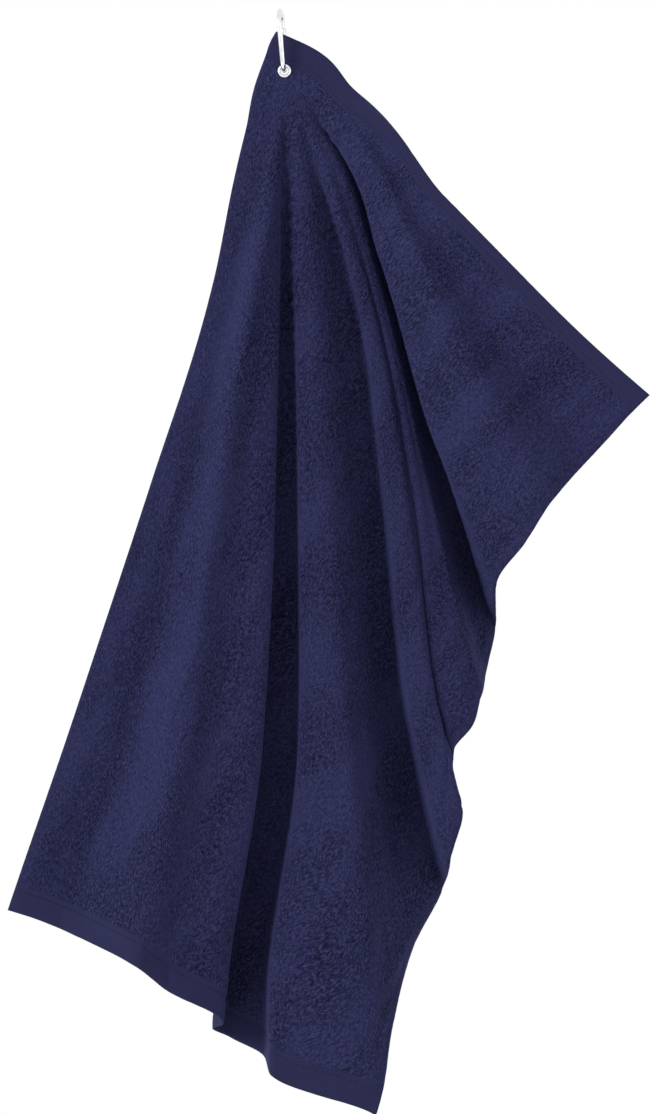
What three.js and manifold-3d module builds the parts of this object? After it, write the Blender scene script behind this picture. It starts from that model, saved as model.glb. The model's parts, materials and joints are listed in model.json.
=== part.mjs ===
// Golf towel: a terry towel that hangs from a spring hook by a grommet in one corner.
// Millimetres, +Z up, +X to the right and +Y away from the viewer.
// The origin is the hook's inner top, the point that hangs on the bag.
import * as THREE from "three";
import { mergeVertices } from "three/addons/utils/BufferGeometryUtils.js";
import Module from "manifold-3d";

const wasm = await Module();
wasm.setup();

// ---- Driving dimensions ----

// Towel cloth
const TOWEL_WIDTH = 406;
const TOWEL_LENGTH = 635;
const CLOTH_THICKNESS = 3;
const SIDE_SEAM = 6; // stitch line from each long edge, inside the folded hem
const END_SEAM = 15; // stitch line from each short edge, inside the flat woven band
const GROMMET_FROM_SIDE = 16; // grommet centre to the long edge
const GROMMET_FROM_END = 23; // grommet centre to the short edge
const CELL_WIDTH = 13.5; // about how wide one cell of the draped sheet is, and how long
const CELL_LENGTH = 14.4;

// Sewing thread
const THREAD_DIAMETER = 0.8;
const THREAD_LIFT = 0.7; // clear space between a thread and the cloth face
const STEEPEST = 0.35; // a thread's lift grows by no more than one over this at a sharp fold
const THREAD_END = 5; // a seam stops this far from the cloth's corner

// Grommet
const HOLE_CLEARANCE = 2; // the hole is this much wider than the hook's rod
const BARREL_WALL = 0.5;
const FLANGE_WIDTH = 1.6; // from the barrel out to the flange's edge
const FLANGE_THICKNESS = 0.8;
const WASHER_THICKNESS = 0.6;
const CURL_WIDTH = 0.9; // how far the barrel's end is rolled out over the washer
const FIT = 0.3; // clear space between touching pieces

// Spring hook
const HOOK_LENGTH = 45;
const HOOK_WIDTH = 24;
const HOOK_NECK = 19; // width across the bottom bend
const ROD_DIAMETER = 3.4;
const HOOK_TURN = 6; // degrees the hook is turned from edge-on
const ROD_RISE = 0.1; // rod centre above the hole's centre, where the grommet hangs
const PIVOT_RISE = 4; // pivot above the gate leg's lower end
const GATE_DIAMETER = 4.6;
const GATE_BORE = 2.9;
const TONGUE_THICKNESS = 1.5; // the flattened rod ends inside the gate
const TONGUE_WIDTH = 2.8;
const PIVOT_DIAMETER = 1.3;
const PIVOT_PLAY = 0.15;
const LATCH_DIAMETER = 1.4;
const LATCH_LENGTH = 3.2;
const LATCH_DEPTH = 2.6; // latch below the gate's top end
const BORE_PLUG = 3; // solid gate between the latch and the spring's bore
const SHOULDER_GAP = 1.6; // from the tongue's round end down to the full rod
const SPRING_WIRE = 0.4;
const SPRING_TURNS = 7;
const PLUNGER_LENGTH = 2.4;
const PLUNGER_HEAD = 1;
const BORE_PLAY = 0.2; // clear space round the spring and plunger in the bore

// Where the cloth lies. Each row is one fold line that runs out from the grommet: its angle on the flat
// cloth, its angle in front view at five distances from the grommet, how far it leans back, how much it
// bows forwards, and how much of its length shows. Angles in degrees from the towel's long edge or from
// straight down, plus to the right.
const FOLD_RADII = [60, 150, 300, 460, 640];
const FOLDS = [
  { flat: -90, seen: [-107, -107, -107, -107, -107], lean: 0, bow: 0, show: 1 },
  { flat: -20, seen: [-34.3, -33.4, -34.8, -35.8, -36.6], lean: 0.8, bow: 0, show: 1 },
  { flat: -1.5, seen: [-16.2, -15.3, -16.8, -17.7, -18.3], lean: 1.2, bow: 0, show: 1 },
  { flat: 9, seen: [-8.4, -10, -10.2, -9.8, -10.6], lean: -2.3, bow: 6, show: 1 },
  { flat: 17, seen: [-3, -5.2, -6, -6.4, -7], lean: -0.5, bow: 3, show: 1 },
  { flat: 22, seen: [0, -0.8, -1.5, -2.1, -3.8], lean: 0.2, bow: 0, show: 1 },
  { flat: 23.5, seen: [0.6, -1.1, -2.1, -2.8, -4.3], lean: 2.6, bow: 0, show: 1 },
  { flat: 25, seen: [1.8, 0, -0.8, -1.4, -2.9], lean: 4, bow: 0, show: 1 },
  { flat: 26.7, seen: [3.4, 2.1, 1.2, 0.7, -1.2], lean: 2.9, bow: 0, show: 1 },
  { flat: 28.4, seen: [4.8, 3, 2.1, 1.5, -0.3], lean: -0.1, bow: 0, show: 1 },
  { flat: 32.5, seen: [9.5, 7, 5.4, 5, 5], lean: -0.4, bow: 0, show: 1 },
  { flat: 36, seen: [13, 10.5, 7.8, 6.6, 6.6], lean: 0.8, bow: 0, show: 0.995 },
  { flat: 39, seen: [16, 14, 9.8, 8, 8.2], lean: 2.6, bow: 0, show: 0.995 },
  { flat: 41.8, seen: [19, 17, 12.4, 10, 10.2], lean: 3.6, bow: 0, show: 0.995 },
  { flat: 43.9, seen: [20.8, 18.9, 13.9, 11.4, 12], lean: -0.5, bow: 0, show: 0.995 },
  { flat: 47.8, seen: [24, 21.2, 16, 13.2, 13.5], lean: -1.1, bow: 0, show: 0.995 },
  { flat: 51.5, seen: [27.2, 22.8, 17.4, 14.1, 14.2], lean: 1.6, bow: 0, show: 0.99 },
  { flat: 55, seen: [29.6, 23.8, 18.6, 16, 16], lean: -0.2, bow: 0, show: 0.99 },
  { flat: 57.5, seen: [31.4, 24.6, 19.2, 17.5, 17.5], lean: -0.6, bow: 0, show: 0.985 },
  { flat: 60.5, seen: [34, 26.3, 20.8, 18.7, 18.5], lean: 2.6, bow: 0, show: 0.975 },
  { flat: 63.6, seen: [36, 28.2, 22.9, 21.6, 21.5], lean: 3.6, bow: 0, show: 0.965 },
  { flat: 68.5, seen: [36.9, 27.4, 22.2, 22.4, 22.4], lean: -4, bow: 14, show: 0.915 },
  { flat: 73, seen: [41.5, 31.5, 26.5, 26.7, 26.7], lean: -7.5, bow: 19, show: 0.905 },
  { flat: 78, seen: [45.8, 36, 31.3, 31.3, 31.3], lean: -10, bow: 24, show: 0.894 },
  { flat: 84, seen: [50.6, 41.6, 38, 38, 38], lean: -8.6, bow: 23, show: 0.877 },
  { flat: 89, seen: [54, 45.4, 43.6, 43.6, 43.6], lean: -10, bow: 22, show: 0.875 },
  { flat: 93.4, seen: [56.6, 48.2, 47.8, 48.2, 48.2], lean: -12, bow: 22, show: 0.88 },
  { flat: 100, seen: [60.6, 51, 50.4, 50.4, 50.4], lean: -12, bow: 22, show: 0.88 },
  { flat: 113, seen: [70.6, 60, 60, 60, 60], lean: -8, bow: 8, show: 0.95 },
  { flat: 134, seen: [102, 95, 95, 95, 95], lean: -3, bow: 0, show: 1 },
  { flat: 180, seen: [150, 150, 150, 150, 150], lean: 0, bow: 0, show: 1 },
];
const CORNER_TURN = 21; // degrees the flat corner round the grommet is turned to the left
const FLAT_RADIUS = 14; // the cloth is flat this near to the grommet
const FAN_RADIUS = 75; // the folds are whole from here on
const BOW_RADIUS = 400;
const REST_SWING = 4.2; // degrees the whole cloth swings back, so that its weight hangs below the grommet

// ---- Dependent sizes ----

const rodRadius = ROD_DIAMETER / 2;
const holeRadius = (ROD_DIAMETER + HOLE_CLEARANCE) / 2;
const barrelRadius = holeRadius + BARREL_WALL;
const flangeRadius = barrelRadius + FLANGE_WIDTH;
const topBend = (HOOK_WIDTH - ROD_DIAMETER) / 2;
const bottomBend = (HOOK_NECK - ROD_DIAMETER) / 2;
const rodBottomZ = ROD_DIAMETER - HOOK_LENGTH + rodRadius;
const topCentreZ = rodRadius - topBend;
const bottomCentreZ = rodBottomZ + bottomBend;
const legLean = Math.asin((topBend - bottomBend) / (topCentreZ - bottomCentreZ));
const legLength = (topCentreZ - bottomCentreZ) * Math.cos(legLean);
const pivotAlong = PIVOT_RISE;
const gateTop = legLength - FIT;
const tongueTip = TONGUE_WIDTH / 2; // round end about the pivot
const shoulder = pivotAlong - tongueTip - SHOULDER_GAP; // where the round rod ends below the gate
const gateFoot = pivotAlong - tongueTip - SHOULDER_GAP / 2;
const forkTop = pivotAlong + tongueTip + FIT;
const latchAlong = gateTop - LATCH_DEPTH;
const boreTop = latchAlong - BORE_PLUG;
const halfCloth = CLOTH_THICKNESS / 2;
const sheetColumns = Math.round(TOWEL_WIDTH / CELL_WIDTH);
const sheetRows = Math.round(TOWEL_LENGTH / CELL_LENGTH);
const holeBelowRod = -ROD_RISE;

// ---- Materials ----

const clothMaterial = new THREE.MeshStandardMaterial({ color: 0x292a48, roughness: 0.95, metalness: 0 });
const threadMaterial = new THREE.MeshStandardMaterial({ color: 0x2c2d4e, roughness: 0.7, metalness: 0 });
const nickelMaterial = new THREE.MeshStandardMaterial({ color: 0xd9dadc, roughness: 0.22, metalness: 1 });
const springMaterial = new THREE.MeshStandardMaterial({ color: 0xa8aaad, roughness: 0.35, metalness: 1 });

// ---- Solids ----

// A closed three.js geometry as a manifold solid.
function solidOf(geometry) {
  const bare = geometry.clone();
  for (const name of Object.keys(bare.attributes)) if (name !== "position") bare.deleteAttribute(name);
  const merged = mergeVertices(bare, 1e-4);
  const vertProperties = merged.attributes.position.array;
  const count = vertProperties.length / 3;
  const index = merged.index ? merged.index.array : Array.from({ length: count }, (_, i) => i);
  const solid = new wasm.Manifold(new wasm.Mesh({ numProp: 3, vertProperties, triVerts: new Uint32Array(index) }));
  return solid;
}

// A manifold solid as a three.js geometry.
function geometryOf(solid) {
  const mesh = solid.getMesh();
  const geometry = new THREE.BufferGeometry();
  const positions = new Float32Array((mesh.vertProperties.length / mesh.numProp) * 3);
  for (let i = 0; i < positions.length / 3; i++) {
    for (let axis = 0; axis < 3; axis++) {
      positions[3 * i + axis] = mesh.vertProperties[mesh.numProp * i + axis];
    }
  }
  geometry.setAttribute("position", new THREE.BufferAttribute(positions, 3));
  geometry.setIndex(new THREE.BufferAttribute(new Uint32Array(mesh.triVerts), 1));
  geometry.computeVertexNormals();
  return geometry;
}

function makeMesh(name, geometry, material) {
  const mesh = new THREE.Mesh(geometry, material);
  mesh.name = name;
  return mesh;
}

// A round bar along a curve.
function barAlong(curve, radius, steps, sides) {
  const section = new THREE.Shape();
  section.absarc(0, 0, radius, 0, 2 * Math.PI, false);
  return new THREE.ExtrudeGeometry(section, { extrudePath: curve, steps, curveSegments: sides / 2 });
}

// A body turned about Y: pairs of radius and place along Y.
function turnedAboutY(profile, sides) {
  const points = profile.map(([radius, along]) => new THREE.Vector2(radius, along));
  return new THREE.LatheGeometry(points, sides);
}

// A curve through points that a bar follows from point to point.
class PointCurve extends THREE.Curve {
  constructor(points) {
    super();
    this.points = points;
  }

  getPoint(t, target = new THREE.Vector3()) {
    const place = THREE.MathUtils.clamp(t, 0, 1) * (this.points.length - 1);
    const i = Math.min(Math.floor(place), this.points.length - 2);
    return target.lerpVectors(this.points[i], this.points[i + 1], place - i);
  }

  getUtoTmapping(u) {
    return u;
  }
}

// ---- Cloth shape ----

const radians = THREE.MathUtils.degToRad;

// Slopes of a smooth curve through the rows that doesn't overshoot between them.
function smoothSlopes(xs, ys) {
  const slopes = new Array(xs.length).fill(0);
  for (let i = 1; i < xs.length - 1; i++) {
    const before = (ys[i] - ys[i - 1]) / (xs[i] - xs[i - 1]);
    const after = (ys[i + 1] - ys[i]) / (xs[i + 1] - xs[i]);
    if (before * after > 0) slopes[i] = (2 * before * after) / (before + after);
  }
  return slopes;
}

function smoothValue(xs, ys, slopes, x) {
  if (x <= xs[0]) return ys[0];
  if (x >= xs[xs.length - 1]) return ys[xs.length - 1];
  let i = 0;
  while (x > xs[i + 1]) i++;
  const span = xs[i + 1] - xs[i];
  const t = (x - xs[i]) / span;
  const t2 = t * t;
  const t3 = t2 * t;
  const start = (2 * t3 - 3 * t2 + 1) * ys[i] + (t3 - 2 * t2 + t) * span * slopes[i];
  const end = (3 * t2 - 2 * t3) * ys[i + 1] + (t3 - t2) * span * slopes[i + 1];
  return start + end;
}

function smoothCurve(xs, ys) {
  const slopes = smoothSlopes(xs, ys);
  return (x) => smoothValue(xs, ys, slopes, x);
}

const flatAngles = FOLDS.map((fold) => fold.flat);
const seenCurves = FOLD_RADII.map((_, i) => smoothCurve(flatAngles, FOLDS.map((fold) => fold.seen[i])));
const leanCurve = smoothCurve(flatAngles, FOLDS.map((fold) => fold.lean));
const bowCurve = smoothCurve(flatAngles, FOLDS.map((fold) => fold.bow));
const showCurve = smoothCurve(flatAngles, FOLDS.map((fold) => fold.show));

function smoothStep(low, high, x) {
  return THREE.MathUtils.smoothstep(x, low, high);
}

// The hanging place, from the rod's centre, of the cloth point that lies `across` from the long edge and
// `down` from the short edge.
function clothPoint(across, down) {
  const u = across - GROMMET_FROM_SIDE;
  const v = down - GROMMET_FROM_END;
  const radius = Math.hypot(u, v);
  let flat = THREE.MathUtils.radToDeg(Math.atan2(u, v));
  if (flat < -120) flat += 360;
  const seen = smoothValue(FOLD_RADII, seenCurves.map((curve) => curve(flat)),
    smoothSlopes(FOLD_RADII, seenCurves.map((curve) => curve(flat))), radius);
  const grown = smoothStep(FLAT_RADIUS, FAN_RADIUS, radius);
  const lean = radians(leanCurve(flat)) * smoothStep(FLAT_RADIUS, 2.5 * FAN_RADIUS, radius);
  const show = 1 - (1 - showCurve(flat)) * smoothStep(0, BOW_RADIUS, radius);
  const bow = bowCurve(flat) * Math.sin(Math.PI * Math.min(1, radius / BOW_RADIUS)) * grown;
  const reach = radius * show;
  const fan = new THREE.Vector3(
    reach * Math.cos(lean) * Math.sin(radians(seen)),
    radius * Math.sin(lean) - bow,
    -reach * Math.cos(lean) * Math.cos(radians(seen)),
  );
  const turn = radians(CORNER_TURN);
  const near = new THREE.Vector3(
    u * Math.cos(turn) - v * Math.sin(turn),
    0,
    -v * Math.cos(turn) - u * Math.sin(turn),
  );
  return near.lerp(fan, grown).add(new THREE.Vector3(0, 0, holeBelowRod));
}

// The cloth face's direction at the same point, towards the viewer.
function clothNormal(across, down) {
  const step = 10;
  const alongWidth = clothPoint(across + step, down).sub(clothPoint(across - step, down));
  const alongLength = clothPoint(across, down + step).sub(clothPoint(across, down - step));
  return alongWidth.cross(alongLength).normalize().negate();
}

function sheetPoint(across, down, offset) {
  return clothPoint(across, down).addScaledVector(clothNormal(across, down), offset);
}

// The draped cloth as one closed sheet.
function sheetGeometry() {
  const positions = [];
  const index = [];
  const columns = sheetColumns;
  const rows = sheetRows;
  for (const side of [1, -1]) {
    for (let row = 0; row <= rows; row++) {
      for (let column = 0; column <= columns; column++) {
        const across = (TOWEL_WIDTH * column) / columns;
        const down = (TOWEL_LENGTH * row) / rows;
        positions.push(...sheetPoint(across, down, side * halfCloth).toArray());
      }
    }
  }
  const perSide = (columns + 1) * (rows + 1);
  const at = (side, row, column) => side * perSide + row * (columns + 1) + column;
  const quad = (a, b, c, d) => index.push(a, b, c, a, c, d);
  for (let row = 0; row < rows; row++) {
    for (let column = 0; column < columns; column++) {
      quad(at(0, row, column), at(0, row + 1, column), at(0, row + 1, column + 1), at(0, row, column + 1));
      quad(at(1, row, column), at(1, row, column + 1), at(1, row + 1, column + 1), at(1, row + 1, column));
    }
  }
  for (let column = 0; column < columns; column++) {
    quad(at(0, 0, column), at(0, 0, column + 1), at(1, 0, column + 1), at(1, 0, column));
    quad(at(0, rows, column), at(1, rows, column), at(1, rows, column + 1), at(0, rows, column + 1));
  }
  for (let row = 0; row < rows; row++) {
    quad(at(0, row, 0), at(1, row, 0), at(1, row + 1, 0), at(0, row + 1, 0));
    quad(at(0, row, columns), at(0, row + 1, columns), at(1, row + 1, columns), at(1, row, columns));
  }
  const geometry = new THREE.BufferGeometry();
  geometry.setAttribute("position", new THREE.BufferAttribute(new Float32Array(positions), 3));
  geometry.setIndex(index);
  return geometry;
}

function makeCloth() {
  const hole = new THREE.CylinderGeometry(barrelRadius + FIT, barrelRadius + FIT, 4 * CLOTH_THICKNESS, 24);
  hole.translate(0, 0, holeBelowRod);
  const cloth = solidOf(sheetGeometry()).subtract(solidOf(hole));
  return makeMesh("towel_cloth", geometryOf(cloth), clothMaterial);
}

// A corner of the sheet's front face, lifted so far that it clears every facet that meets there.
function liftedCorner(column, row, lift) {
  const place = (i, j) => sheetPoint((TOWEL_WIDTH * i) / sheetColumns, (TOWEL_LENGTH * j) / sheetRows, halfCloth);
  const corner = place(column, row);
  const facing = clothNormal((TOWEL_WIDTH * column) / sheetColumns, (TOWEL_LENGTH * row) / sheetRows);
  const around = [[0, 1], [1, 1], [1, 0], [0, -1], [-1, -1], [-1, 0]];
  let least = 1;
  for (let k = 0; k < around.length; k++) {
    const [near, far] = [around[k], around[(k + 1) % around.length]]
      .map(([i, j]) => [column + i, row + j]);
    if ([near, far].some(([i, j]) => i < 0 || j < 0 || i > sheetColumns || j > sheetRows)) continue;
    const facet = place(...near).sub(corner).cross(place(...far).sub(corner)).normalize();
    least = Math.min(least, Math.abs(facet.dot(facing)));
  }
  return corner.addScaledVector(facing, lift / Math.max(least, STEEPEST));
}

// A point on the faceted front face of the sheet, lifted clear of it.
function facePoint(across, down, lift) {
  const x = Math.min((across / TOWEL_WIDTH) * sheetColumns, sheetColumns - 1e-6);
  const y = Math.min((down / TOWEL_LENGTH) * sheetRows, sheetRows - 1e-6);
  const column = Math.floor(x);
  const row = Math.floor(y);
  const corner = (i, j) => liftedCorner(column + i, row + j, lift);
  const s = x - column;
  const t = y - row;
  const near = corner(0, 0);
  const far = corner(1, 1);
  const side = t >= s ? corner(0, 1) : corner(1, 0);
  const small = Math.min(s, t);
  const large = Math.max(s, t);
  return near.multiplyScalar(1 - large).addScaledVector(side, large - small).addScaledVector(far, small);
}

// A seam is one line of thread laid just clear of the cloth's front, along a straight line on the flat cloth.
// It has a point at each line of the sheet's grid that it crosses.
function makeSeam(sheet, name, startAcross, startDown, endAcross, endDown) {
  const cellWidth = TOWEL_WIDTH / sheetColumns;
  const cellLength = TOWEL_LENGTH / sheetRows;
  const spanAcross = endAcross - startAcross;
  const spanDown = endDown - startDown;
  const places = new Set([0, 1]);
  for (let i = 1; i < sheetColumns; i++) if (spanAcross) places.add((i * cellWidth - startAcross) / spanAcross);
  for (let i = 1; i < sheetRows; i++) if (spanDown) places.add((i * cellLength - startDown) / spanDown);
  const diagonal = spanAcross ? (startDown / cellLength) % 1 : (startAcross / cellWidth) % 1;
  for (let i = 0; i < sheetColumns; i++) {
    if (spanAcross) places.add(((i + diagonal) * cellWidth - startAcross) / spanAcross);
  }
  for (let i = 0; i < sheetRows; i++) {
    if (spanDown) places.add(((i + diagonal) * cellLength - startDown) / spanDown);
  }
  const lift = THREAD_LIFT + THREAD_DIAMETER / 2;
  const points = [...places].filter((t) => t >= 0 && t <= 1).sort((a, b) => a - b)
    .map((t) => facePoint(startAcross + t * spanAcross, startDown + t * spanDown, lift));
  const bar = barAlong(new PointCurve(points), THREAD_DIAMETER / 2, points.length - 1, 4);
  // in a very tight fold the thread is pressed flat where it would run into the cloth
  return makeMesh(name, geometryOf(solidOf(bar).subtract(sheet)), threadMaterial);
}

function makeSeams() {
  const right = TOWEL_WIDTH - SIDE_SEAM;
  const bottom = TOWEL_LENGTH - END_SEAM;
  const firstAcross = SIDE_SEAM + THREAD_END;
  const lastAcross = TOWEL_WIDTH - firstAcross;
  const lastDown = TOWEL_LENGTH - THREAD_END;
  const sheet = solidOf(sheetGeometry());
  return [
    makeSeam(sheet, "seam_left_side", SIDE_SEAM, THREAD_END, SIDE_SEAM, lastDown),
    makeSeam(sheet, "seam_right_side", right, THREAD_END, right, lastDown),
    makeSeam(sheet, "seam_top_end", firstAcross, END_SEAM, lastAcross, END_SEAM),
    makeSeam(sheet, "seam_bottom_end", firstAcross, bottom, lastAcross, bottom),
  ];
}

// ---- Grommet ----

// The eyelet: a domed front flange, the barrel through the cloth and its rolled back end.
function makeEyelet() {
  const front = -halfCloth - FIT;
  const back = halfCloth + FIT + WASHER_THICKNESS + FIT;
  const flange = flangeRadius;
  const flare = BARREL_WALL;
  const profile = [
    [holeRadius, front + 0.2],
    [holeRadius + 0.15 * flare, front - 0.5 * FLANGE_THICKNESS],
    [holeRadius + flare, front - 0.9 * FLANGE_THICKNESS],
    [(holeRadius + flange) / 2, front - FLANGE_THICKNESS],
    [flange - 0.35, front - 0.75 * FLANGE_THICKNESS],
    [flange, front - 0.25 * FLANGE_THICKNESS],
    [flange - 0.15, front],
    [barrelRadius, front],
    [barrelRadius, back],
    [barrelRadius + CURL_WIDTH - 0.1, back],
    [barrelRadius + CURL_WIDTH, back + 0.35],
    [barrelRadius + 0.4, back + 0.7],
    [holeRadius + flare, back + 0.7],
    [holeRadius, back + 0.1],
    [holeRadius, front + 0.2],
  ];
  const mesh = makeMesh("grommet_eyelet", geometryOf(closedLathe(profile, 32)), nickelMaterial);
  mesh.position.z = holeBelowRod;
  return mesh;
}

function closedLathe(profile, sides) {
  const solid = solidOf(turnedAboutY(profile, sides));
  if (solid.volume() > 0) return solid;
  return solidOf(turnedAboutY([...profile].reverse(), sides));
}

function makeWasher() {
  const inner = barrelRadius + 0.2;
  const outer = flangeRadius;
  const near = halfCloth + FIT;
  const far = near + WASHER_THICKNESS;
  const profile = [[inner, near], [outer - 0.2, near], [outer, near + 0.2], [outer - 0.3, far], [inner, far], [inner, near]];
  const mesh = makeMesh("grommet_washer", geometryOf(closedLathe(profile, 32)), nickelMaterial);
  mesh.position.z = holeBelowRod;
  return mesh;
}

// ---- Spring hook: y across the hook from the plain leg to the gate, x through it ----

function arcPoints(centreZ, radius, fromDegrees, toDegrees, count) {
  return Array.from({ length: count + 1 }, (_, i) => {
    const angle = radians(THREE.MathUtils.lerp(fromDegrees, toDegrees, i / count));
    return new THREE.Vector3(0, radius * Math.cos(angle), centreZ + radius * Math.sin(angle));
  });
}

// The gate leg's own frame: origin at its lower end, z up along the leg.
function legGroup() {
  const group = new THREE.Group();
  group.position.set(0, bottomBend * Math.cos(legLean), bottomCentreZ - bottomBend * Math.sin(legLean));
  group.rotation.x = -legLean;
  group.updateMatrixWorld(true);
  return group;
}

function boxSolid(width, depth, low, high, x = 0, y = 0) {
  const box = new THREE.BoxGeometry(width, depth, high - low);
  box.translate(x, y, (low + high) / 2);
  return solidOf(box);
}

// A round bar along x at a height on the leg.
function crossBar(radius, length, along, sides) {
  const bar = new THREE.CylinderGeometry(radius, radius, length, sides);
  bar.rotateZ(Math.PI / 2);
  bar.translate(0, 0, along);
  return solidOf(bar);
}

// A round bar up the leg.
function upright(radius, low, high, sides) {
  const bar = new THREE.CylinderGeometry(radius, radius, high - low, sides);
  bar.rotateX(Math.PI / 2);
  bar.translate(0, 0, (low + high) / 2);
  return solidOf(bar);
}

function makeHookFrame() {
  const lean = THREE.MathUtils.radToDeg(legLean);
  const leg = legGroup();
  const rod = [
    new THREE.Vector3(0, 0, shoulder).applyMatrix4(leg.matrixWorld),
    ...arcPoints(bottomCentreZ, bottomBend, -lean, -180 + lean, 20),
    ...arcPoints(topCentreZ, topBend, -180 + lean, -360 - lean, 28),
  ];
  const frame = solidOf(barAlong(new PointCurve(rod), rodRadius, rod.length - 1, 16));
  const tongue = boxSolid(TONGUE_THICKNESS, TONGUE_WIDTH, shoulder - 1, pivotAlong)
    .add(crossBar(tongueTip, TONGUE_THICKNESS, pivotAlong, 24))
    .subtract(crossBar(PIVOT_DIAMETER / 2 + PIVOT_PLAY, ROD_DIAMETER, pivotAlong, 16));
  const latch = boxSolid(TONGUE_THICKNESS, LATCH_DIAMETER, latchAlong, legLength + 1)
    .add(crossBar(LATCH_DIAMETER / 2, LATCH_LENGTH, latchAlong, 12));
  const ends = geometryOf(tongue.add(latch)).applyMatrix4(leg.matrixWorld);
  return makeMesh("hook_frame", geometryOf(frame.add(solidOf(ends))), nickelMaterial);
}

// The gate: a tube with a fork over the tongue at its foot and a slot for the latch at its head.
function makeGate() {
  const reach = GATE_DIAMETER;
  const slot = TONGUE_THICKNESS + 2 * FIT;
  const pocketFloor = latchAlong - LATCH_DIAMETER / 2 - FIT;
  const pocketRoof = latchAlong + LATCH_DIAMETER / 2 + FIT;
  const latchBack = -LATCH_DIAMETER / 2 - FIT;
  const pocketDepth = reach - latchBack;
  const middle = latchBack + pocketDepth / 2;
  return upright(GATE_DIAMETER / 2, gateFoot, gateTop, 24)
    .subtract(upright(GATE_BORE / 2, forkTop - 0.2, boreTop, 16))
    .subtract(boxSolid(slot, 2 * reach, gateFoot - 1, forkTop))
    .subtract(boxSolid(slot, pocketDepth, pocketFloor, gateTop + 1, 0, middle))
    .subtract(boxSolid(LATCH_LENGTH + 2 * FIT, pocketDepth, pocketFloor, pocketRoof, 0, middle))
    .subtract(crossBar(PIVOT_DIAMETER / 2 + PIVOT_PLAY, 2 * reach, pivotAlong, 16));
}

function makePlunger() {
  const radius = GATE_BORE / 2 - BORE_PLAY;
  const head = upright(radius, forkTop, forkTop + PLUNGER_HEAD, 16);
  return head.add(upright(radius / 2, forkTop, forkTop + PLUNGER_LENGTH, 12));
}

function makeSpring() {
  const foot = forkTop + PLUNGER_HEAD + BORE_PLAY + SPRING_WIRE / 2;
  const head = boreTop - BORE_PLAY - SPRING_WIRE / 2;
  const radius = GATE_BORE / 2 - BORE_PLAY - SPRING_WIRE / 2;
  const steps = SPRING_TURNS * 12;
  const points = Array.from({ length: steps + 1 }, (_, i) => {
    const angle = (2 * Math.PI * SPRING_TURNS * i) / steps;
    return new THREE.Vector3(radius * Math.cos(angle), radius * Math.sin(angle), foot + ((head - foot) * i) / steps);
  });
  return solidOf(barAlong(new PointCurve(points), SPRING_WIRE / 2, steps, 6));
}

function makeGateParts() {
  const group = legGroup();
  group.add(
    makeMesh("hook_gate", geometryOf(makeGate()), nickelMaterial),
    makeMesh("gate_pivot_pin", geometryOf(crossBar(PIVOT_DIAMETER / 2, GATE_DIAMETER, pivotAlong, 16)), nickelMaterial),
    makeMesh("gate_plunger", geometryOf(makePlunger()), nickelMaterial),
    makeMesh("gate_spring", geometryOf(makeSpring()), springMaterial),
  );
  return group;
}

function makeHook() {
  const group = new THREE.Group();
  group.rotation.z = -radians(HOOK_TURN);
  group.add(makeHookFrame(), makeGateParts());
  return group;
}

function makeTowel() {
  const group = new THREE.Group();
  group.position.z = rodBottomZ;
  group.rotation.y = radians(REST_SWING);
  group.add(makeCloth(), ...makeSeams(), makeEyelet(), makeWasher());
  return group;
}

export default new THREE.Group().add(makeHook(), makeTowel());
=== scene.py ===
# Golf towel: a terry towel hanging in folds from a spring hook by its corner grommet
import json
import math
import bmesh
import bpy
import numpy as np
from mathutils import Matrix, Vector


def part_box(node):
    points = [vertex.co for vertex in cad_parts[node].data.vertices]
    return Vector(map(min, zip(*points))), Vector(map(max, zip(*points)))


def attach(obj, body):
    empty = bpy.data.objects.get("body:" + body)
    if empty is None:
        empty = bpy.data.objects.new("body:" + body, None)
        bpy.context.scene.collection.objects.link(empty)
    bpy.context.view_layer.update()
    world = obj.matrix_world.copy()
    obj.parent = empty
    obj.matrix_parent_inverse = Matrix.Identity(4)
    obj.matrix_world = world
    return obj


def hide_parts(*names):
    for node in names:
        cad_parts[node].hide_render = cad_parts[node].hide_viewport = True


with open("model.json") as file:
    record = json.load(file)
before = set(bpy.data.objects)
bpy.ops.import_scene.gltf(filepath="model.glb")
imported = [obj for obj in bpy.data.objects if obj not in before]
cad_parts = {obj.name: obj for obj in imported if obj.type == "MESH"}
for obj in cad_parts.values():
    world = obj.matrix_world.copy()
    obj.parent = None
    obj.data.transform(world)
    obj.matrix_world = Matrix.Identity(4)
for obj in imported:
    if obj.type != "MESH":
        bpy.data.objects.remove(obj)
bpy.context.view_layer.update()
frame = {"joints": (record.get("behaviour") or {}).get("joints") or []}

scene = bpy.context.scene
mm = 0.001
eyeletLow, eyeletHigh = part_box("grommet_eyelet")
clothLow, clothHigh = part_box("towel_cloth")
swingJoint = next(joint for joint in frame["joints"] if joint["name"] == "towel_swing")
rodCentre = Vector(swingJoint["pos_m"])


def newMaterial(name):
    material = bpy.data.materials.new(name)
    material.use_nodes = True
    return material, material.node_tree, material.node_tree.nodes["Principled BSDF"]


def addNode(tree, kind, **values):
    node = tree.nodes.new(kind)
    for key, value in values.items():
        if hasattr(node, key):
            setattr(node, key, value)
        else:
            node.inputs[key].default_value = value
    return node


def wire(tree, source, target, output=0, entry=0):
    tree.links.new(source.outputs[output], target.inputs[entry])


def mathNode(tree, operation, first, second=None):
    node = tree.nodes.new("ShaderNodeMath")
    node.operation = operation
    for slot, value in enumerate((first, second)):
        if value is None:
            continue
        if isinstance(value, (int, float)):
            node.inputs[slot].default_value = value
        else:
            tree.links.new(value, node.inputs[slot])
    return node.outputs[0]


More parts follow.
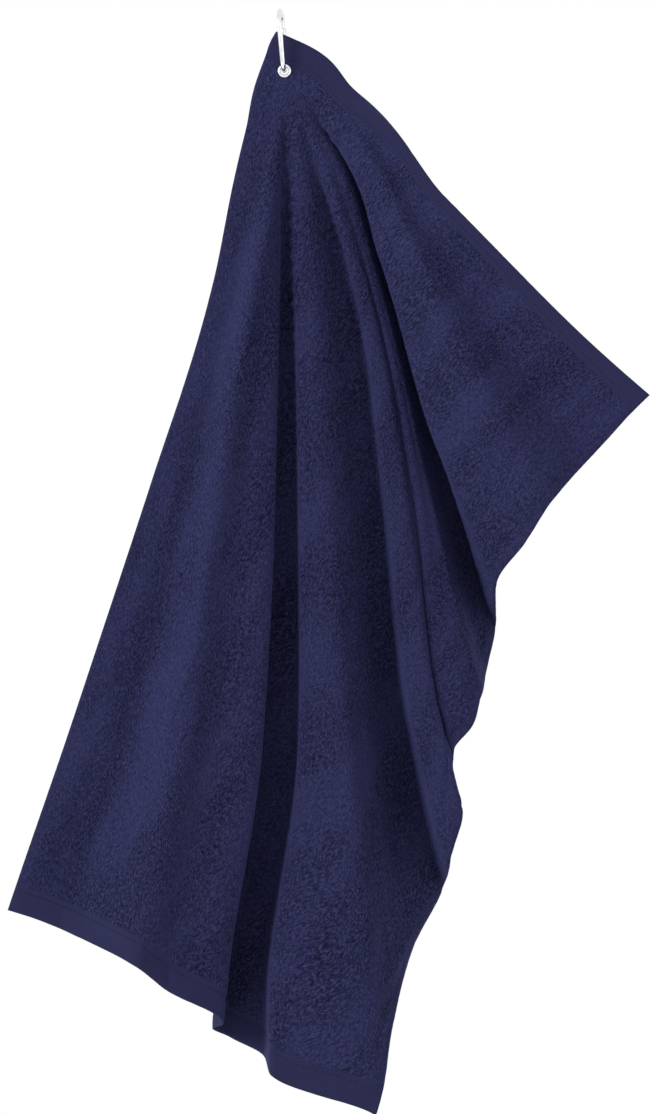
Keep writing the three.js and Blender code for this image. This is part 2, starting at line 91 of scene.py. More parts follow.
def remap(tree, value, low, high, newLow=0.0, newHigh=1.0):
    node = tree.nodes.new("ShaderNodeMapRange")
    node.interpolation_type = "SMOOTHSTEP"
    tree.links.new(value, node.inputs["Value"])
    node.inputs["From Min"].default_value = low
    node.inputs["From Max"].default_value = high
    node.inputs["To Min"].default_value = newLow
    node.inputs["To Max"].default_value = newHigh
    return node.outputs["Result"]


def mixColours(tree, factor, first, second, blend="MIX"):
    node = tree.nodes.new("ShaderNodeMix")
    node.data_type = "RGBA"
    node.blend_type = blend
    for slot, value in ((0, factor), (6, first), (7, second)):
        if isinstance(value, (int, float)):
            node.inputs[slot].default_value = value
        elif isinstance(value, tuple):
            node.inputs[slot].default_value = (*value, 1)
        else:
            tree.links.new(value, node.inputs[slot])
    return node.outputs[2]


def finishPiece(piece, body, material, slot, *nodes):
    piece.data.materials.clear()
    piece.data.materials.append(material)
    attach(piece, body)
    if nodes:
        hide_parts(*nodes)
    return piece


def pieceFrom(name, bm, matrix=None, smooth=True):
    if matrix is not None:
        bmesh.ops.transform(bm, matrix=matrix, verts=bm.verts)
    mesh = bpy.data.meshes.new(name)
    bm.to_mesh(mesh)
    bm.free()
    if smooth:
        mesh.shade_smooth()
    else:
        mesh.shade_flat()
    piece = bpy.data.objects.new(name, mesh)
    scene.collection.objects.link(piece)
    return piece


cloth = {
    "width": 406 * mm,
    "length": 635 * mm,
    "thickness": 2.7 * mm,
    "sideHem": 7 * mm,
    "sideSeam": 6 * mm,
    "endBand": 19 * mm,
    "endSeam": 15 * mm,
    "grommetFromSide": 16 * mm,
    "grommetFromEnd": 23 * mm,
    "holeRadius": 3.7 * mm,
    "bandThinner": 0.34,
    "hemThinner": 0.18,
    "seamDip": 0.4,
    "seamDipWidth": 1.4 * mm,
    "edgeThinner": 0.35,
    "edgeRound": 2.6 * mm,
    "pressedHalf": 0.95 * mm,
    "pressedWithin": 4 * mm,
    "fullPileFrom": 8 * mm,
    "pileUnevenness": 0.06 * mm,
    "backShift": 0.45,
    "flatRadius": 9 * mm,
    "fanRadius": 48 * mm,
    "bowRadius": 400 * mm,
    "valleySteeper": 0.35,
    "steepUntil": 120 * mm,
    "evenFrom": 320 * mm,
    "cornerTurn": 21,
    "restSwing": 4.2,
    "coarseColumns": 80,
    "coarseRows": 125,
    "refine": 2,
}

# One row per fold line that runs out from the grommet: angle on the flat cloth, angle in front view at
# five distances, how far it leans back, how many mm it bows forwards and how much of its length shows.
foldRadii = [60 * mm, 150 * mm, 300 * mm, 460 * mm, 640 * mm]
folds = [
    (-120, (-128, -128, -128, -128, -128), 0, 0, 1),
    (-90, (-107, -107, -107, -107, -107), 0, 0, 1),
    (-20, (-34.3, -33.4, -34.8, -35.8, -36.6), 0.8, 0, 1),
    (-1.5, (-16.2, -15.3, -16.8, -17.7, -18.3), 0.6, 0, 1),
    (4.5, (-11.8, -12.6, -13.2, -13.6, -15), 0.8, 3, 1),
    (12.5, (-6.2, -8.2, -8.9, -8.6, -9.4), -2.7, 6, 1),
    (17, (-3, -5.1, -6, -6.3, -7.4), -1.6, 3, 1),
    (22, (-3, -1.8, -1.5, -2, -3.7), 0, 0, 1),
    (23.5, (-2.6, -1.9, -2.1, -2.8, -4.3), 2.6, 0, 1),
    (25, (-1, -0.9, -0.9, -1.4, -3.2), 4, 0, 1),
    (26.8, (2.6, 2.4, 1.8, 1.2, -1.2), 3.2, 0, 1),
    (28.4, (4.8, 3.2, 2.2, 1.5, -0.7), -0.1, 0, 1),
    (32.5, (9.5, 7, 5.4, 5, 5), -0.4, 0, 1),
    (36, (13, 10.5, 7.8, 6.6, 6.6), 0.8, 0, 0.995),
    (39, (16, 14, 9.8, 8.1, 8.3), 2.9, 0, 0.995),
    (42, (19.8, 18, 13.1, 10.7, 11.1), 4.6, 0, 0.995),
    (43.9, (20.8, 18.9, 13.9, 11.4, 12), -0.8, 0, 0.995),
    (47.8, (24, 21.2, 16, 13.4, 13.8), -1.4, 0, 0.995),
    (50.5, (26.4, 22.3, 17, 13.5, 13.5), -0.5, 0, 0.99),
    (53, (28.3, 23.3, 18, 14, 14.1), -0.9, 0, 0.99),
    (55, (29.6, 23.8, 18.6, 16, 16), -0.7, 0, 0.99),
    (57.5, (31.4, 24.6, 19.2, 17.3, 17.3), -0.6, 0, 0.985),
    (60.5, (34, 26.3, 20.8, 18.7, 18.5), 2.6, 0, 0.975),
    (63.6, (36, 28.2, 22.8, 20.7, 20.7), 3.8, 0, 0.95),
    (68.5, (36.9, 27.4, 22.2, 22.4, 22.4), -4, 14, 0.915),
    (73, (41.5, 31.5, 26.5, 26.7, 26.7), -7.5, 19, 0.905),
    (78, (45.8, 36, 31.3, 31.3, 31.3), -11, 24, 0.894),
    (84, (50.6, 41.6, 38, 38, 38), -8.4, 23, 0.877),
    (89, (54, 45.4, 43.6, 43.6, 43.6), -10, 22, 0.875),
    (93.4, (56.2, 48.6, 47.2, 48, 48), -12, 22, 0.88),
    (100, (59.6, 51.4, 49.6, 49.8, 49.8), -12, 22, 0.88),
    (113, (70.4, 58.4, 57, 57, 57), -8, 8, 0.95),
    (121, (79, 70, 70, 70, 70), -6, 5, 0.98),
    (134, (97, 90, 90, 90, 90), -3, 0, 1),
    (180, (150, 150, 150, 150, 150), 0, 0, 1),
    (215, (190, 190, 190, 190, 190), 0, 0, 1),
    (240, (232, 232, 232, 232, 232), 0, 0, 1),
]


def smoothStep(low, high, x):
    t = np.clip((x - low) / (high - low), 0, 1)
    return t * t * (3 - 2 * t)


# A smooth curve through rows of values that doesn't overshoot between them; ys may hold one set per point.
def smoothThrough(xs, ys, x):
    xs = np.asarray(xs, float)
    ys = np.asarray(ys, float)
    if ys.ndim == 1:
        ys = np.repeat(ys[:, None], len(x), axis=1)
    rise = np.diff(ys, axis=0) / np.diff(xs)[:, None]
    slopes = np.zeros_like(ys)
    product = rise[:-1] * rise[1:]
    total = rise[:-1] + rise[1:]
    rising = product > 0
    slopes[1:-1][rising] = 2 * product[rising] / total[rising]
    x = np.clip(x, xs[0], xs[-1])
    i = np.clip(np.searchsorted(xs, x, side="right") - 1, 0, len(xs) - 2)
    each = np.arange(len(x))
    span = xs[i + 1] - xs[i]
    t = (x - xs[i]) / span
    start = (2 * t**3 - 3 * t**2 + 1) * ys[i, each] + (t**3 - 2 * t**2 + t) * span * slopes[i, each]
    end = (3 * t**2 - 2 * t**3) * ys[i + 1, each] + (t**3 - t**2) * span * slopes[i + 1, each]
    return start + end


def drapedPoints(across, down):
    u = across - cloth["grommetFromSide"]
    v = down - cloth["grommetFromEnd"]
    radius = np.hypot(u, v)
    flat = np.degrees(np.arctan2(u, v))
    flat = np.where(flat < folds[0][0], flat + 360, flat)
    flats = [row[0] for row in folds]
    atRadii = [smoothThrough(flats, [row[1][k] for row in folds], flat) for k in range(len(foldRadii))]
    seen = np.radians(smoothThrough(foldRadii, atRadii, radius))
    grown = smoothStep(cloth["flatRadius"], cloth["fanRadius"], radius)
    leanGrown = smoothStep(cloth["flatRadius"], 2 * cloth["fanRadius"], radius)
    lean = np.radians(smoothThrough(flats, [row[2] for row in folds], flat)) * leanGrown
    # the valleys lean back further where the folds start
    fading = smoothStep(cloth["steepUntil"], cloth["evenFrom"], radius)
    steeper = 1 + cloth["valleySteeper"] - cloth["valleySteeper"] * fading
    lean = np.where(lean > 0, lean * steeper, lean)
    shown = smoothThrough(flats, [row[4] for row in folds], flat)
    reach = radius * (1 - (1 - shown) * smoothStep(0, cloth["bowRadius"], radius))
    wave = np.sin(np.pi * np.minimum(1, radius / cloth["bowRadius"]))
    bow = smoothThrough(flats, [row[3] for row in folds], flat) * mm * wave * grown
    fan = np.stack([
        reach * np.cos(lean) * np.sin(seen),
        radius * np.sin(lean) - bow,
        -reach * np.cos(lean) * np.cos(seen),
    ], axis=1)
    turn = math.radians(cloth["cornerTurn"])
    near = np.stack([
        u * math.cos(turn) - v * math.sin(turn),
        np.zeros_like(u),
        -v * math.cos(turn) - u * math.sin(turn),
    ], axis=1)
    return near + (fan - near) * grown[:, None]


# Turns the cloth back to where its weight hangs below the grommet, and puts it on the hook.
def hangInPlace(points):
    swing = math.radians(cloth["restSwing"])
    x = points[:, 0] * math.cos(swing) + points[:, 2] * math.sin(swing)
    z = points[:, 2] * math.cos(swing) - points[:, 0] * math.sin(swing)
    centre = (Vector(eyeletLow) + Vector(eyeletHigh)) / 2
    return np.stack([x + centre.x, points[:, 1] + rodCentre.y, z + centre.z], axis=1)


# A flat grid of the cut cloth; returns its bmesh and each vertex's place across and down.
def flatCloth(columns, rows):
    bm = bmesh.new()
    bmesh.ops.create_grid(bm, x_segments=columns, y_segments=rows, size=0.5)
    size = Vector((cloth["width"], cloth["length"], 1))
    bmesh.ops.translate(bm, vec=(0.5, 0.5, 0), verts=bm.verts)
    bmesh.ops.scale(bm, vec=size, verts=bm.verts)
    places = np.array([vert.co[:2] for vert in bm.verts])
    return bm, places[:, 0], places[:, 1]


def gridIndex(across, down, columns, rows):
    column = np.rint(across / cloth["width"] * columns).astype(int)
    row = np.rint(down / cloth["length"] * rows).astype(int)
    return row, column


settling = {
    "frames": 24,
    "quality": 7,
    "hold": 0.18,
    "edgeHold": 0.5,
    "heldWithin": 20 * mm,
    "freeFrom": 90 * mm,
    "pinStiffness": 1.2,
    "vertexMass": 0.05,
    "tension": 12,
    "shear": 4,
    "bending": 2.5,
    "damping": 8,
    "bendingDamping": 0.6,
    "airDamping": 3,
    "most": 16 * mm,
}


# Lets the draped cloth settle in a short cloth run, and returns the grid of its middle.
def settledGrid():
    columns, rows = cloth["coarseColumns"], cloth["coarseRows"]
    bm, across, down = flatCloth(columns, rows)
    mesh = bpy.data.meshes.new("settlingCloth")
    bm.to_mesh(mesh)
    bm.free()
    draped = hangInPlace(drapedPoints(across, down))
    row, column = gridIndex(across, down, columns, rows)
    grid = np.zeros((rows + 1, columns + 1, 3))
    piece = bpy.data.objects.new("settlingCloth", mesh)
    scene.collection.objects.link(piece)
    flatKey = piece.shape_key_add(name="Basis")
    flatShape = np.array([vertex.co for vertex in flatKey.data]).copy()
    mesh.shape_keys.key_blocks[0].data.foreach_set("co", draped.ravel())
    mesh.vertices.foreach_set("co", draped.ravel())
    cut = piece.shape_key_add(name="cut", from_mix=False)
    cut.data.foreach_set("co", flatShape.ravel())
    cut.value = 0
    toGrommet = np.hypot(across - cloth["grommetFromSide"], down - cloth["grommetFromEnd"])
    edge = np.minimum.reduce([across, cloth["width"] - across, down, cloth["length"] - down])
    hold = np.where(edge < 0.1 * mm, settling["edgeHold"], settling["hold"])
    hold = np.maximum(hold, 1 - smoothStep(settling["heldWithin"], settling["freeFrom"], toGrommet))
    group = piece.vertex_groups.new(name="hold")
    for index, weight in enumerate(hold):
        group.add([index], float(weight), "REPLACE")
    modifier = piece.modifiers.new("Cloth", "CLOTH")
    settings = modifier.settings
    settings.quality = settling["quality"]
    settings.mass = settling["vertexMass"]
    settings.tension_stiffness = settling["tension"]
    settings.compression_stiffness = settling["tension"]
    settings.shear_stiffness = settling["shear"]
    settings.bending_stiffness = settling["bending"]
    settings.tension_damping = settling["damping"]
    settings.compression_damping = settling["damping"]
    settings.shear_damping = settling["damping"]
    settings.bending_damping = settling["bendingDamping"]
    settings.air_damping = settling["airDamping"]
    settings.vertex_group_mass = "hold"
    settings.pin_stiffness = settling["pinStiffness"]
    settings.rest_shape_key = cut
    modifier.collision_settings.use_self_collision = False
    modifier.point_cache.frame_start = 1
    modifier.point_cache.frame_end = settling["frames"]
    for frameNumber in range(1, settling["frames"] + 1):
        scene.frame_set(frameNumber)
    settled = piece.evaluated_get(bpy.context.evaluated_depsgraph_get())
    after = np.empty(len(mesh.vertices) * 3)
    settled.data.vertices.foreach_get("co", after)
    after = after.reshape(-1, 3)
    move = after - draped
    far = np.linalg.norm(move, axis=1, keepdims=True)
    print("settling moved the cloth by up to", round(float(far.max()) / mm, 1), "mm, mean",
          round(float(far.mean()) / mm, 1))
    move *= np.minimum(1, settling["most"] / np.maximum(far, 1e-9))
    grid[row, column] = draped + move
    scene.frame_set(1)
    bpy.data.objects.remove(piece)
    bpy.data.meshes.remove(mesh)
    return grid


# Fills the coarse grid in with a smooth curve along each of its two directions.
def refined(grid, times):
    for axis in (0, 1):
        lines = np.moveaxis(grid, axis, 0)
        padded = np.concatenate([2 * lines[:1] - lines[1:2], lines, 2 * lines[-1:] - lines[-2:-1]])
        p0, p1, p2, p3 = padded[:-3], padded[1:-2], padded[2:-1], padded[3:]
        fine = np.empty(((len(lines) - 1) * times + 1, *lines.shape[1:]))
        for k in range(times):
            t = k / times
            fine[k:-1:times] = 0.5 * (2 * p1 + (p2 - p0) * t + (2 * p0 - 5 * p1 + 4 * p2 - p3) * t**2
                                      + (3 * p1 - p0 - 3 * p2 + p3) * t**3)
        fine[-1] = lines[-1]
        grid = np.moveaxis(fine, 0, axis)
    return grid


def gridNormals(grid):
    alongDown = np.gradient(grid, axis=0)
    alongAcross = np.gradient(grid, axis=1)
    normals = np.cross(alongDown, alongAcross)
    return normals / np.linalg.norm(normals, axis=2, keepdims=True)


# Place and outward direction of a spot on the settled cloth's middle.
def spotOn(grid, normals, across, down):
    rows, columns = grid.shape[0] - 1, grid.shape[1] - 1
    y = min(max(down / cloth["length"] * rows, 0), rows - 1e-6)
    x = min(max(across / cloth["width"] * columns, 0), columns - 1e-6)
    row, column = int(y), int(x)
    s, t = x - column, y - row
    weights = ((0, 0, (1 - s) * (1 - t)), (0, 1, s * (1 - t)), (1, 0, (1 - s) * t), (1, 1, s * t))
    place = sum(grid[row + j, column + i] * weight for j, i, weight in weights)
    facing = sum(normals[row + j, column + i] * weight for j, i, weight in weights)
    return Vector(place), Vector(facing).normalized()


# Half the cloth's thickness at each spot: full pile in the field, thin bands, pressed seams and grommet.
def halfThickness(across, down):
    fromEnd = np.minimum(down, cloth["length"] - down)
    fromSide = np.minimum(across, cloth["width"] - across)
    half = np.full_like(across, cloth["thickness"] / 2)
    band = 1 - smoothStep(cloth["endBand"] - 1.5 * mm, cloth["endBand"] + 1.5 * mm, fromEnd)
    half *= 1 - cloth["bandThinner"] * band
    hem = 1 - smoothStep(cloth["sideHem"] - 1 * mm, cloth["sideHem"] + 1.5 * mm, fromSide)
    half *= 1 - cloth["hemThinner"] * hem
    sideDip = np.exp(-((fromSide - cloth["sideSeam"]) / cloth["seamDipWidth"]) ** 2)
    endDip = np.exp(-((fromEnd - cloth["endSeam"]) / cloth["seamDipWidth"]) ** 2)
    half *= 1 - cloth["seamDip"] * np.maximum(sideDip, endDip)
    edge = 1 - smoothStep(0, cloth["edgeRound"], np.minimum(fromEnd, fromSide))
    half *= 1 - cloth["edgeThinner"] * edge
    toGrommet = np.hypot(across - cloth["grommetFromSide"], down - cloth["grommetFromEnd"])
    pressed = 1 - smoothStep(cloth["pressedWithin"], cloth["fullPileFrom"], toGrommet)
    return half * (1 - pressed) + cloth["pressedHalf"] * pressed


# Where the two faces of the cloth run: front first, then back.
def clothFaces(grid, across, down):
    rows, columns = grid.shape[0] - 1, grid.shape[1] - 1
    row, column = gridIndex(across, down, columns, rows)
    middle = grid[row, column]
    facing = gridNormals(grid)[row, column]
    half = halfThickness(across, down)
    rng = np.random.default_rng(7)
    fromEnd = np.minimum(down, cloth["length"] - down)
    field = smoothStep(cloth["endBand"], cloth["endBand"] + 3 * mm, fromEnd)
    rough = rng.normal(0, cloth["pileUnevenness"], (2, len(half))) * field
    front = middle + facing * (half + rough[0])[:, None]
    rear = middle - facing * (half + rough[1])[:, None]
    return front, rear


def cutGrommetHole(bm, acrossLayer, downLayer):
    centreU, centreV = cloth["grommetFromSide"], cloth["grommetFromEnd"]
    gone = []
    for face in bm.faces:
        u = sum(vert[acrossLayer] for vert in face.verts) / 4
        v = sum(vert[downLayer] for vert in face.verts) / 4
        if math.hypot(u - centreU, v - centreV) < cloth["holeRadius"]:
            gone.append(face)
    bmesh.ops.delete(bm, geom=gone, context="FACES")


# Pulls the rim of the hole, cut along the grid, out or in to a true circle; the cloth is flat there.
def roundHoleRim(edges, acrossLayer, downLayer, grid):
    centreU, centreV = cloth["grommetFromSide"], cloth["grommetFromEnd"]
    centre = spotOn(grid, gridNormals(grid), centreU, centreV)[0]
    for vert in {vert for edge in edges for vert in edge.verts}:
        u, v = vert[acrossLayer] - centreU, vert[downLayer] - centreV
        ratio = cloth["holeRadius"] / math.hypot(u, v)
        vert[acrossLayer] = centreU + u * ratio
        vert[downLayer] = centreV + v * ratio
        vert.co.x = centre.x + (vert.co.x - centre.x) * ratio
        vert.co.z = centre.z + (vert.co.z - centre.z) * ratio


# A metre of cloth is one whole unit, and the back lies beside the front.
def layClothUVs(bm, acrossLayer, downLayer, faceLayer):
    uvLayer = bm.loops.layers.uv.new("cloth")
    for face in bm.faces:
        back = all(vert[faceLayer] > 0.5 for vert in face.verts)
        shift = cloth["backShift"] if back else 0
        for loop in face.loops:
            loop[uvLayer].uv = (loop.vert[acrossLayer] + shift, loop.vert[downLayer])


def buildCloth(grid):
    rows, columns = grid.shape[0] - 1, grid.shape[1] - 1
    bm, across, down = flatCloth(columns, rows)
    front, rear = clothFaces(grid, across, down)
    # where each vertex lies on the cut cloth, and which face of the cloth it is on
    acrossLayer = bm.verts.layers.float.new("across")
    downLayer = bm.verts.layers.float.new("down")
    faceLayer = bm.verts.layers.float.new("face")
    orderLayer = bm.verts.layers.int.new("order")
    for index, vert in enumerate(bm.verts):
        vert[acrossLayer] = across[index]
        vert[downLayer] = down[index]
        vert[orderLayer] = index
        vert.co = front[index]
    cutGrommetHole(bm, acrossLayer, downLayer)
    # the back is a copy of the front, turned over and bridged to it round both edges
    made = bmesh.ops.duplicate(bm, geom=bm.verts[:] + bm.edges[:] + bm.faces[:])
    for item in made["geom"]:
        if isinstance(item, bmesh.types.BMVert):
            item.co = rear[item[orderLayer]]
            item[faceLayer] = 1
    backFaces = [item for item in made["geom"] if isinstance(item, bmesh.types.BMFace)]
    bmesh.ops.reverse_faces(bm, faces=backFaces)
    holeRim = []
    outerRim = []
    for edge in bm.edges:
        if edge.is_boundary:
            vert = edge.verts[0]
            u, v = vert[acrossLayer] - cloth["grommetFromSide"], vert[downLayer] - cloth["grommetFromEnd"]
            nearHole = math.hypot(u, v) < 2 * cloth["holeRadius"]
            (holeRim if nearHole else outerRim).append(edge)
    roundHoleRim(holeRim, acrossLayer, downLayer, grid)
    for edges in (holeRim, outerRim):
        bmesh.ops.bridge_loops(bm, edges=edges)
    bmesh.ops.recalc_face_normals(bm, faces=bm.faces)
    layClothUVs(bm, acrossLayer, downLayer, faceLayer)
    return pieceFrom("terryCloth", bm)


terry = {
    # the deep colour is painted shade down in the pile between the loops; tip is the loops' own colour
    "shadedDeep": (0.0066, 0.0070, 0.0300),
    "tip": (0.0290, 0.0304, 0.0865),
    "band": (0.0162, 0.0169, 0.0510),
    "loopSize": 0.95 * mm,
    "clumpSize": 1.45 * mm,
    "gapSize": 1.25 * mm,
    "gapShadeLevel": 0.42,
    "sheen": 0.10,
}


# How far a spot of the cloth is from the nearest side and the nearest end.
def edgeDistances(tree, parts):
    across = mathNode(tree, "MODULO", parts.outputs[0], cloth["backShift"])
    down = parts.outputs[1]
    fromSide = mathNode(tree, "MINIMUM", across, mathNode(tree, "SUBTRACT", cloth["width"], across))
    fromEnd = mathNode(tree, "MINIMUM", down, mathNode(tree, "SUBTRACT", cloth["length"], down))
    return across, down, fromSide, fromEnd


# Places pushed about by a slow noise, so that rows of loops wander.
def wanderingPlace(tree, place, scale, push, stretch, turn):
    drift = addNode(tree, "ShaderNodeTexNoise", Scale=scale, Detail=2.0)
    wire(tree, place, drift)
    lean = addNode(tree, "ShaderNodeVectorMath", operation="MULTIPLY_ADD")
    wire(tree, drift, lean, output="Color")
    lean.inputs[1].default_value = (push, push, 0)
    wire(tree, place, lean, entry=2)
    turned = addNode(tree, "ShaderNodeMapping")
    wire(tree, lean, turned)
    turned.inputs["Rotation"].default_value = (0, 0, math.radians(turn))
    turned.inputs["Scale"].default_value = (1, stretch, 1)
    return turned


# Height of the pile: loops that lie over in short curved rows, broken up by clumps and loose fibres.
def pileHeight(tree, place):
    rows = wanderingPlace(tree, place, 42.0, 0.011, 0.5, 28)
    loops = addNode(tree, "ShaderNodeTexVoronoi", Scale=1 / terry["loopSize"], feature="SMOOTH_F1")
    loops.inputs["Smoothness"].default_value = 0.5
    loops.inputs["Randomness"].default_value = 1.0
    wire(tree, rows, loops)
    tuft = remap(tree, loops.outputs["Distance"], 0.1, 0.7, 1, 0)
    crossed = wanderingPlace(tree, place, 60.0, 0.009, 0.55, -34)
    clumps = addNode(tree, "ShaderNodeTexNoise", Scale=1 / terry["clumpSize"], Detail=3.0, Roughness=0.6)
    wire(tree, crossed, clumps)
    fibres = addNode(tree, "ShaderNodeTexNoise", Scale=2300.0, Detail=3.0, Roughness=0.7)
    wire(tree, rows, fibres)
    pile = mathNode(tree, "ADD", mathNode(tree, "MULTIPLY", tuft, 0.5),
                    mathNode(tree, "MULTIPLY", clumps.outputs["Fac"], 1.3))
    return mathNode(tree, "ADD", pile, mathNode(tree, "MULTIPLY", fibres.outputs["Fac"], 0.3))


# Painted shade in short gaps between the rows of loops.
def gapShade(tree, place):
    rows = wanderingPlace(tree, place, 55.0, 0.012, 0.38, 20)
    shadedGaps = addNode(tree, "ShaderNodeTexNoise", Scale=1 / terry["gapSize"], Detail=1.5, Roughness=0.5)
    wire(tree, rows, shadedGaps)
    return remap(tree, shadedGaps.outputs["Fac"], 0.38, 0.52, terry["gapShadeLevel"], 1.0)


# Height of the flat woven bands: fine ribs along them, crossed by the picks.
def weaveHeight(tree, across, down):
    ribs = mathNode(tree, "SINE", mathNode(tree, "MULTIPLY", down, 2 * math.pi / (1.1 * mm)))
    picks = mathNode(tree, "SINE", mathNode(tree, "MULTIPLY", across, 2 * math.pi / (0.9 * mm)))
    half = mathNode(tree, "ADD", mathNode(tree, "MULTIPLY", ribs, 0.3), 0.5)
    return mathNode(tree, "ADD", half, mathNode(tree, "MULTIPLY", picks, 0.12))


# Terry loops in the field, flat ribbed bands at the ends and folded hems along the sides.
def terryMaterial():
    material, tree, shader = newMaterial("terryCotton")
    place = addNode(tree, "ShaderNodeUVMap", uv_map="cloth")
    parts = addNode(tree, "ShaderNodeSeparateXYZ")
    wire(tree, place, parts)
    across, down, fromSide, fromEnd = edgeDistances(tree, parts)
    band = remap(tree, fromEnd, cloth["endBand"] - 0.6 * mm, cloth["endBand"] + 0.6 * mm, 1, 0)
    hem = remap(tree, fromSide, cloth["sideHem"] - 0.5 * mm, cloth["sideHem"] + 0.5 * mm, 1, 0)
    pile = pileHeight(tree, place)
    weave = weaveHeight(tree, across, down)
    # the pile is brushed nearly flat in long soft streaks that run down the cloth
    streaks = wanderingPlace(tree, place, 9.0, 0.03, 0.3, 0)
    brushed = addNode(tree, "ShaderNodeTexNoise", Scale=24.0, Detail=3.0, Roughness=0.55)
    wire(tree, streaks, brushed)
    ruffled = remap(tree, brushed.outputs["Fac"], 0.34, 0.66, 0.5, 1.1)
    isField = mathNode(tree, "SUBTRACT", 1.0, band)
    fieldHeight = mathNode(tree, "MULTIPLY", mathNode(tree, "MULTIPLY", pile, ruffled), isField)
    bandHeight = mathNode(tree, "MULTIPLY", mathNode(tree, "MULTIPLY", weave, 0.3), band)
    bump = addNode(tree, "ShaderNodeBump", Strength=0.7, Distance=0.9 * mm)
    tree.links.new(mathNode(tree, "ADD", fieldHeight, bandHeight), bump.inputs["Height"])
    wire(tree, bump, shader, entry="Normal")
    # painted shade: the colour darkens from the loop tips down into the pile, where shade falls between the
    # loops
    depth = mathNode(tree, "SUBTRACT", remap(tree, pile, 0.6, 1.5), 0.5)
    depth = mathNode(tree, "ADD", 0.5, mathNode(tree, "MULTIPLY", depth, ruffled))
    fieldColour = mixColours(tree, depth, terry["shadedDeep"], terry["tip"])
    # painted shade multiplied into the colour where gaps open between the rows of loops
    shadedGaps = mixColours(tree, ruffled, (1.0, 1.0, 1.0), gapShade(tree, place))
    fieldColour = mixColours(tree, 1.0, fieldColour, shadedGaps, "MULTIPLY")
    # painted light and shade: the brushed streaks a little lighter or darker, as the pile's lie turns it
    # towards or away from the light
    shade = remap(tree, brushed.outputs["Fac"], 0.3, 0.7, 1.07, 0.93)
    fieldColour = mixColours(tree, 1.0, fieldColour, shade, "MULTIPLY")
    # painted shade: the band's colour darker in the grooves between its ribs
    bandColour = mixColours(tree, remap(tree, weave, 0.1, 0.9, 0.8, 1.0), (0, 0, 0), terry["band"])
    colour = mixColours(tree, band, fieldColour, bandColour)
    colour = mixColours(tree, mathNode(tree, "MULTIPLY", hem, 0.35), colour, terry["band"])
    tree.links.new(colour, shader.inputs["Base Color"])
    tree.links.new(remap(tree, pile, 0.4, 1.6, 0.98, 0.88), shader.inputs["Roughness"])
    shader.inputs["Specular IOR Level"].default_value = 0.08
    shader.inputs["Sheen Weight"].default_value = terry["sheen"]
    shader.inputs["Sheen Roughness"].default_value = 0.5
    shader.inputs["Sheen Tint"].default_value = (0.3, 0.34, 0.95, 1)
    return material


stitch = {
    "length": 2.6 * mm,
    "pitch": 3.1 * mm,
    "radius": 0.32 * mm,
    "sink": 0.05 * mm,
    "colour": (0.0095, 0.0100, 0.0330),
}


def buildSeam(name, node, grid, normals, start, end, material):
    bm = bmesh.new()
    startSpot, endSpot = np.array(start), np.array(end)
    span = float(np.linalg.norm(endSpot - startSpot))
    count = int(span / stitch["pitch"])
    along = (endSpot - startSpot) / span
    for number in range(count):
        centre = startSpot + along * (number + 0.5) * span / count
        ends = [centre - along * stitch["length"] / 2, centre + along * stitch["length"] / 2]
        (first, facing), (second, _) = (spotOn(grid, normals, *spot) for spot in ends)
        half = float(halfThickness(np.array([centre[0]]), np.array([centre[1]]))[0])
        direction = (second - first).normalized()
        sideways = facing.cross(direction).normalized()
        facing = direction.cross(sideways)
        turn = Matrix((direction, sideways, facing)).transposed().to_4x4()
        size = Matrix.Diagonal((stitch["length"] / 2, stitch["radius"], stitch["radius"] * 0.8, 1))
        for side in (1, -1):
            middle = (first + second) / 2 + facing * side * (half - stitch["sink"])
            place = Matrix.Translation(middle) @ turn @ size
            bmesh.ops.create_icosphere(bm, subdivisions=1, radius=1, matrix=place)
    piece = pieceFrom(name, bm)
    return finishPiece(piece, "towel", material, "sewing_thread", node)


def threadMaterial():
    material, tree, shader = newMaterial("sewingThread")
    place = addNode(tree, "ShaderNodeTexCoord")
    twist = addNode(tree, "ShaderNodeTexNoise", Scale=1800.0, Detail=2.0)
    wire(tree, place, twist, output="Object")
    dark = tuple(0.6 * channel for channel in stitch["colour"])
    colour = mixColours(tree, twist.outputs["Fac"], dark, stitch["colour"])
    tree.links.new(colour, shader.inputs["Base Color"])
    bump = addNode(tree, "ShaderNodeBump", Strength=0.4, Distance=0.1 * mm)
    wire(tree, twist, bump, output="Fac", entry="Height")
    wire(tree, bump, shader, entry="Normal")
    shader.inputs["Roughness"].default_value = 0.85
    shader.inputs["Specular IOR Level"].default_value = 0.1
    return material


def buildSeams(grid):
    normals = gridNormals(grid)
    material = threadMaterial()
    width, length = cloth["width"], cloth["length"]
    side, end, inset = cloth["sideSeam"], cloth["endSeam"], 11 * mm
    runs = {
        "leftHemStitches": ("seam_left_side", (side, 4 * mm), (side, length - 4 * mm)),
        "rightHemStitches": ("seam_right_side", (width - side, 4 * mm), (width - side, length - 4 * mm)),
        "topHemStitches": ("seam_top_end", (inset, end), (width - inset, end)),
        "bottomHemStitches": ("seam_bottom_end", (inset, length - end), (width - inset, length - end)),
    }
    return [buildSeam(name, node, grid, normals, start, end, material)
            for name, (node, start, end) in runs.items()]


nickel = {"colour": (0.86, 0.86, 0.87), "roughness": 0.16, "scratch": 0.15}
steel = {"colour": (0.56, 0.56, 0.58), "roughness": 0.3, "scratch": 0.4}


